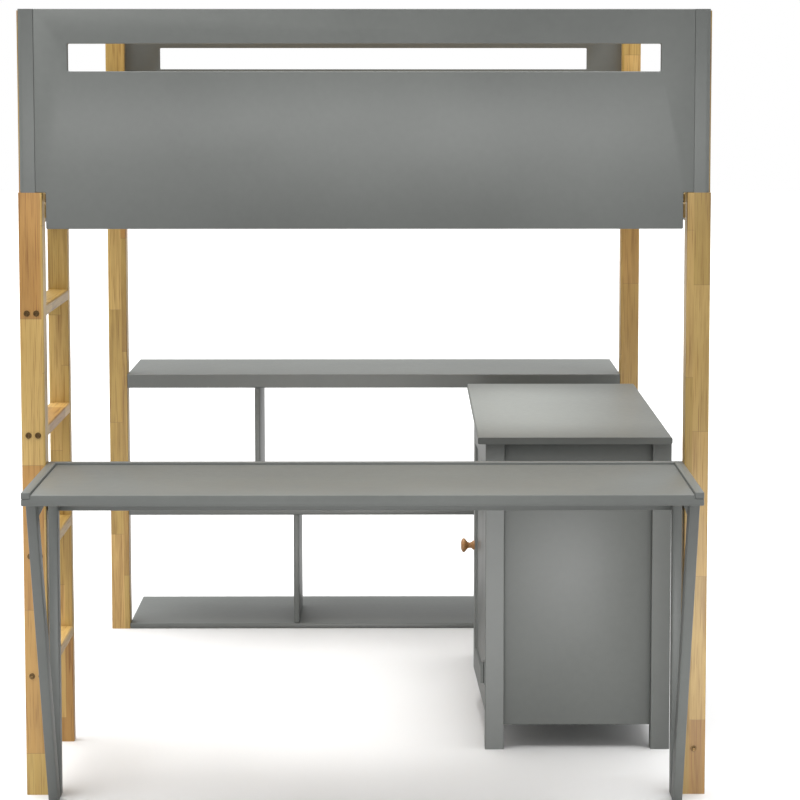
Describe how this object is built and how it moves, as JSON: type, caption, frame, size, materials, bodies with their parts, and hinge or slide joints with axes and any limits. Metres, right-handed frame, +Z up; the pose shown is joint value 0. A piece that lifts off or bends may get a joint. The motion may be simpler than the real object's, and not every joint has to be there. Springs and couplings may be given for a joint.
{
  "type": "loft bed with desk",
  "caption": "Wooden loft bed with slotted grey end panels, side ladder, front desk on V legs, rear bookcase and a cabinet with a hinged door.",
  "frame": {"origin": "on the floor, at the middle of the whole object's footprint", "axes": "+X to the right seen from the desk end, +Y from the desk end to the bookcase end, +Z up"},
  "size_m": [1.45, 2.828, 1.666],
  "materials": {
    "natural_wood": "clear satin lacquer on finger-jointed hardwood",
    "grey_paint": "satin grey paint on board",
    "knob_wood": "turned wood, satin lacquer",
    "bolt_metal": "antique bronze plating",
    "hinge_metal": "painted grey with the cabinet"
  },
  "bodies": {
    "bed": {"front_left_post": "natural_wood", "front_right_post": "natural_wood", "back_left_post": "natural_wood", "back_right_post": "natural_wood", "front_panel": "grey_paint", "back_panel": "grey_paint", "front_left_stile": "grey_paint", "front_right_stile": "grey_paint", "back_left_stile": "grey_paint", "back_right_stile": "grey_paint", "left_side_rail": "grey_paint", "right_side_rail": "grey_paint", "left_ledger": "natural_wood", "right_ledger": "natural_wood", "centre_beam": "natural_wood", "slats": "natural_wood", "left_guard_rail": "grey_paint", "right_guard_rail": "grey_paint", "left_guard_posts": "grey_paint", "right_guard_posts": "grey_paint", "ladder_rail": "natural_wood", "rung_1": "natural_wood", "rung_2": "natural_wood", "rung_3": "natural_wood", "rung_4": "natural_wood", "ladder_bolts": "bolt_metal", "desk_top": "grey_paint", "desk_edging": "grey_paint", "desk_back_rail": "grey_paint", "left_leg_front_slat": "grey_paint", "left_leg_back_slat": "grey_paint", "left_leg_brace": "grey_paint", "right_leg_front_slat": "grey_paint", "right_leg_back_slat": "grey_paint", "right_leg_brace": "grey_paint", "leg_bolt": "bolt_metal", "bookcase_top": "grey_paint", "bookcase_middle_shelf": "grey_paint", "bookcase_bottom": "grey_paint", "upper_divider": "grey_paint", "lower_divider": "grey_paint", "cabinet_top": "grey_paint", "cabinet_front_left_post": "grey_paint", "cabinet_front_right_post": "grey_paint", "cabinet_back_left_post": "grey_paint", "cabinet_back_right_post": "grey_paint", "cabinet_front_panel": "grey_paint", "cabinet_right_panel": "grey_paint", "cabinet_back_panel": "grey_paint", "cabinet_left_panel": "grey_paint", "cabinet_middle_stile": "grey_paint", "cabinet_bottom": "grey_paint", "cabinet_shelf": "grey_paint", "hinge_fixed_leaves": "hinge_metal", "hinge_pins": "hinge_metal"},
    "door": {"door_frame": "grey_paint", "door_panel": "grey_paint", "door_knob": "knob_wood", "hinge_door_leaves": "hinge_metal"}
  },
  "joints": [
    {"name": "door_hinge", "type": "hinge", "parent": "bed", "child": "door", "pos_m": [0.261, -0.50075, 0.39], "axis": [0, 0, 1], "range_deg": [-1.5, 100]}
  ]
}
